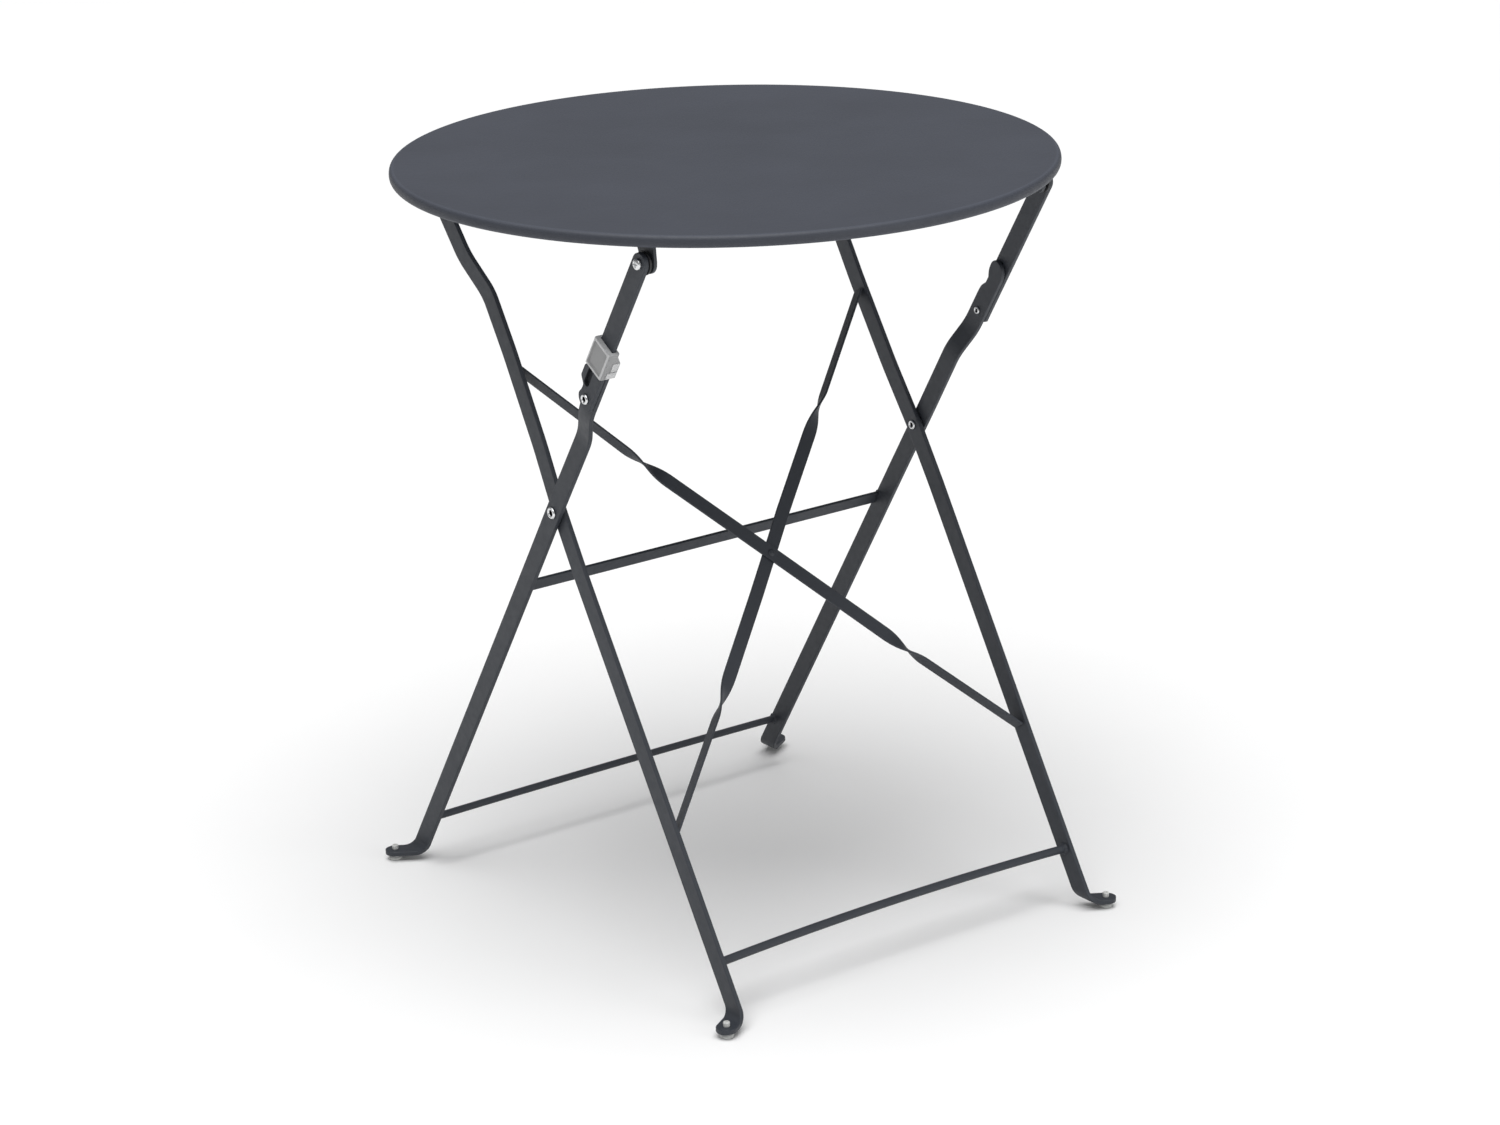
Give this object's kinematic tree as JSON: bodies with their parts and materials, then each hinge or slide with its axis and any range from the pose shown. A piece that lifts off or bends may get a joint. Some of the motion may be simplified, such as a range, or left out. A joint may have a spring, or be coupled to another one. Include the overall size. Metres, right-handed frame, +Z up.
{
  "type": "folding bistro table",
  "caption": "Round folding bistro table: pressed steel top on crossed flat-bar leg frames with hinged upper links, a plastic safety lock and floor glides",
  "frame": {"origin": "on the floor under the centre of the round top", "axes": "+Z up; X along the pivot axes, with the safety lock on the -X side; +Y towards the feet of the outer frame"},
  "size_m": [0.6, 0.6, 0.702],
  "materials": {
    "top_coating": "fine-texture matt powder coat, slate grey",
    "frame_coating": "matt powder coat, slate grey",
    "bright_zinc": "bright zinc plate",
    "dull_zinc": "dull zinc plate",
    "lock_plastic": "translucent grey polypropylene",
    "glide_nylon": "translucent pale grey nylon",
    "black_nylon": "black nylon"
  },
  "bodies": {
    "inner_frame": {"inner_leg_left": "frame_coating", "inner_leg_right": "frame_coating", "inner_glide_left": "glide_nylon", "inner_glide_right": "glide_nylon", "crossing_rivet_left": "bright_zinc", "crossing_rivet_right": "bright_zinc", "crossing_washer_left": "dull_zinc", "crossing_washer_right": "dull_zinc", "rear_pivot_stub_left": "bright_zinc", "rear_pivot_stub_right": "bright_zinc", "brace_left": "frame_coating", "brace_right": "frame_coating", "brace_rivet": "frame_coating", "inner_stretcher": "frame_coating"},
    "outer_frame": {"outer_leg_left": "frame_coating", "outer_leg_right": "frame_coating", "outer_glide_left": "glide_nylon", "outer_glide_right": "glide_nylon", "outer_stretcher_upper": "frame_coating", "outer_stretcher_lower": "frame_coating"},
    "left_link": {"link_left": "frame_coating", "knee_rivet_left": "bright_zinc"},
    "right_link": {"link_right": "frame_coating", "knee_rivet_right": "bright_zinc"},
    "top": {"table_top": "top_coating", "support_rail_left": "frame_coating", "support_rail_right": "frame_coating", "link_bolt_left": "bright_zinc", "link_bolt_right": "bright_zinc", "link_nut_left": "bright_zinc", "link_nut_right": "bright_zinc", "link_spacer_left": "dull_zinc", "link_spacer_right": "dull_zinc", "link_washer_left": "black_nylon", "link_washer_right": "black_nylon", "rear_pivot_cap_left": "bright_zinc", "rear_pivot_cap_right": "bright_zinc"},
    "lock": {"safety_lock": "lock_plastic"}
  },
  "joints": [
    {"name": "fold", "type": "hinge", "parent": "inner_frame", "child": "outer_frame", "pos_m": [0, -0.015, 0.413], "axis": [-1, 0, 0], "range_deg": [0, 61.5]},
    {"name": "knee_left", "type": "hinge", "parent": "outer_frame", "child": "left_link", "pos_m": [-0.221, -0.09408, 0.5381], "axis": [1, 0, 0], "range_deg": [0, 173.2]},
    {"name": "knee_right", "type": "hinge", "parent": "outer_frame", "child": "right_link", "pos_m": [0.221, -0.09408, 0.5381], "axis": [1, 0, 0], "range_deg": [0, 173.2]},
    {"name": "top_tilt", "type": "hinge", "parent": "left_link", "child": "top", "pos_m": [-0.221, -0.18, 0.674], "axis": [-1, 0, 0], "range_deg": [0, 58]},
    {"name": "lock_slide", "type": "slide", "parent": "left_link", "child": "lock", "axis": [0, -0.5344, 0.8453], "range_m": [0, 0.06]}
  ],
  "couplings": [
    {"joint": "knee_left", "follows": "fold", "ratio": 2.8155},
    {"joint": "knee_right", "follows": "fold", "ratio": 2.8155},
    {"joint": "top_tilt", "follows": "fold", "ratio": 0.9427},
    {"joint": "lock_slide", "follows": "fold", "m_per_rad": 0.0558}
  ]
}
